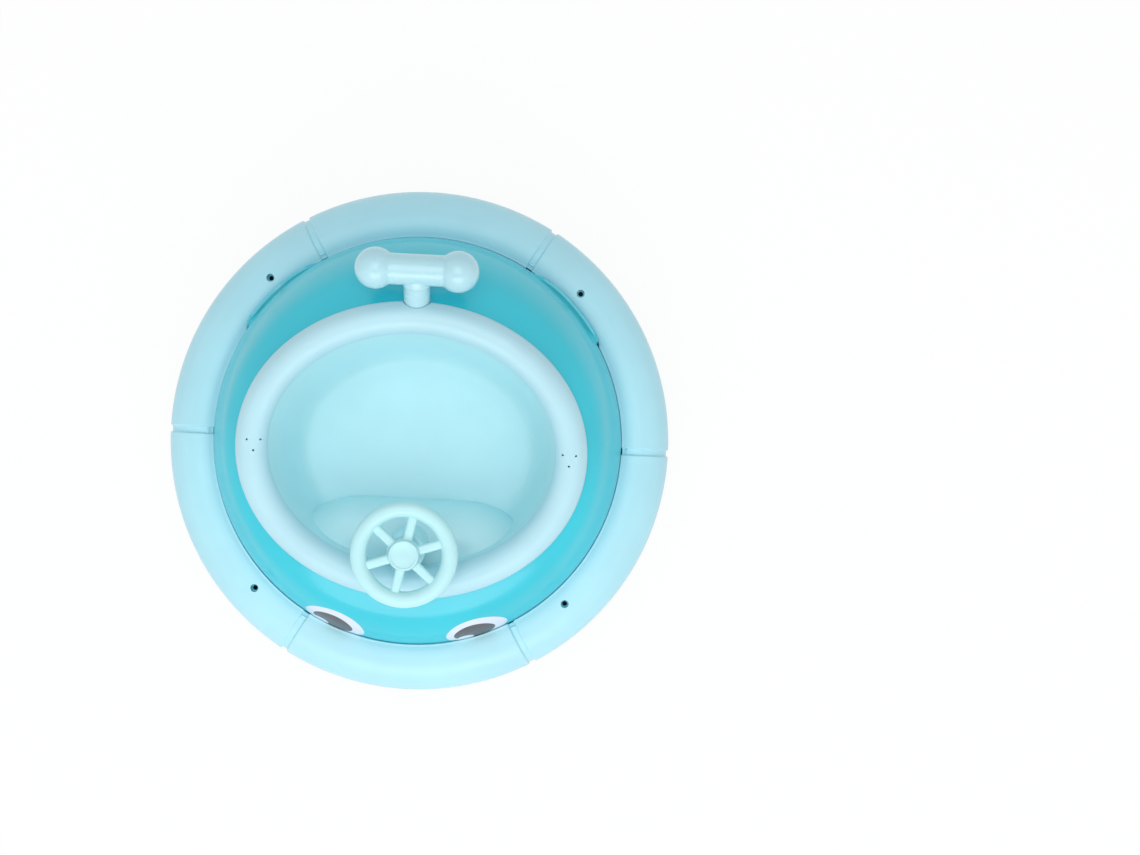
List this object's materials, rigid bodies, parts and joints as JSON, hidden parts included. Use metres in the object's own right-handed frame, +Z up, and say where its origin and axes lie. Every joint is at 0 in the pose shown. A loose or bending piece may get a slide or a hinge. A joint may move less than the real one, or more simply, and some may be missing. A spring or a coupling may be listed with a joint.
{
  "type": "floating bath boat",
  "caption": "Round toy bath boat with a float ring, a leaning open cockpit, a turning steering wheel, a pull-out T-shaped tail handle and a caged stern propeller",
  "frame": {"origin": "on the resting plane, on the float ring's upright axis", "axes": "+Z up, -Y the bow with the eyes and the wheel, +Y the stern with the tail handle, +X starboard"},
  "size_m": [0.24, 0.24, 0.1312],
  "materials": {
    "ring_blue": "pale blue moulded plastic with a soft sheen",
    "body_teal": "turquoise moulded plastic, smooth and glossy",
    "cockpit_blue": "very pale blue moulded plastic",
    "wheel_blue": "very pale blue-green moulded plastic",
    "handle_blue": "very pale blue moulded plastic, glossy",
    "eye_white": "white print under clear gloss",
    "pupil_dark": "charcoal print under clear gloss",
    "screw_steel": "zinc plated steel",
    "spring_steel": "bright spring steel",
    "bush_brass": "turned brass",
    "ballast_iron": "plain cast iron",
    "drive_plastic": "natural white acetal",
    "seal_rubber": "soft black rubber"
  },
  "bodies": {
    "boat": {"ring_upper_shell": "ring_blue", "ring_lower_shell": "ring_blue", "ring_screws": "screw_steel", "body_upper_shell": "body_teal", "hull_lower_shell": "body_teal", "hull_seal": "seal_rubber", "cockpit_coaming": "cockpit_blue", "cockpit_tub": "cockpit_blue", "tub_screws": "screw_steel", "steering_column": "cockpit_blue", "eye_white_left": "eye_white", "eye_white_right": "eye_white", "pupil_left": "pupil_dark", "pupil_right": "pupil_dark", "tail_socket": "drive_plastic", "drive_case_front": "drive_plastic", "drive_case_rear": "drive_plastic", "case_screws": "screw_steel", "mainspring": "spring_steel", "ballast_weight": "ballast_iron", "stern_bush": "bush_brass", "stern_seal": "seal_rubber", "propeller_guard": "body_teal"},
    "wheel": {"steering_wheel": "wheel_blue", "wheel_axle": "drive_plastic", "axle_screw": "screw_steel"},
    "tail": {"tail_handle": "handle_blue", "tail_plug": "drive_plastic"},
    "drum": {"cord_drum": "drive_plastic", "drum_shaft": "spring_steel"},
    "gear": {"drum_gear": "drive_plastic"},
    "propeller": {"propeller": "handle_blue", "prop_shaft": "spring_steel", "prop_pinion": "drive_plastic"}
  },
  "joints": [
    {"name": "wheel_turn", "type": "hinge", "parent": "boat", "child": "wheel", "pos_m": [0, -0.0512, 0.111], "axis": [0, -0.1045, 0.9945], "continuous": true},
    {"name": "tail_pull", "type": "slide", "parent": "boat", "child": "tail", "axis": [0, 0.8121, 0.5835], "range_m": [0, 0.005], "stiffness_N_per_m": 100, "springref_m": -0.01},
    {"name": "drum_spin", "type": "hinge", "parent": "boat", "child": "drum", "pos_m": [-0.02133, 0, 0.025], "axis": [0, 1, 0], "range_deg": [0, 32]},
    {"name": "gear_spin", "type": "hinge", "parent": "boat", "child": "gear", "pos_m": [-0.02133, 0, 0.025], "axis": [0, 1, 0], "continuous": true},
    {"name": "prop_spin", "type": "hinge", "parent": "boat", "child": "propeller", "pos_m": [0, 0, 0.014], "axis": [0, 1, 0], "continuous": true}
  ],
  "couplings": [
    {"joint": "drum_spin", "follows": "tail_pull", "rad_per_m": 111.11},
    {"joint": "prop_spin", "follows": "gear_spin", "ratio": -3}
  ]
}
